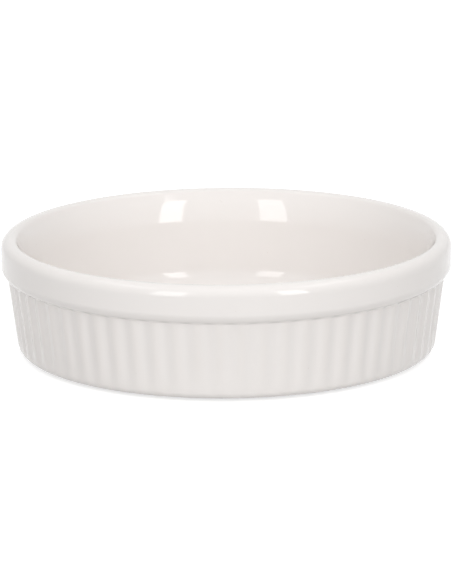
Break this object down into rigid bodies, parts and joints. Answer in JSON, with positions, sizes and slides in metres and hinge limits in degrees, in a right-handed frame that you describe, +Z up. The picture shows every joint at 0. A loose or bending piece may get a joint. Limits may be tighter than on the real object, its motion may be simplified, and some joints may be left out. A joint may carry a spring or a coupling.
{
  "type": "quiche dish",
  "caption": "Round shallow baking dish with a tapered fluted wall, a plain overhanging rim band, a glossy white glaze and a bare foot ring.",
  "frame": {"origin": "on the dish's axis, at the level of the surface that its foot ring stands on", "axes": "+Z up along the dish's axis; X and Y are equal, with the middle of one hollow flute on +X"},
  "size_m": [0.25, 0.25, 0.065],
  "materials": {
    "bare_ceramic": "fired, unglazed, matte, wiped smooth",
    "white_glaze": "glossy warm white glaze, softly pooled at edges"
  },
  "bodies": {
    "root": {"ceramic_body": "bare_ceramic", "glaze_coat": "white_glaze", "foot_well_glaze": "white_glaze"}
  },
  "joints": []
}
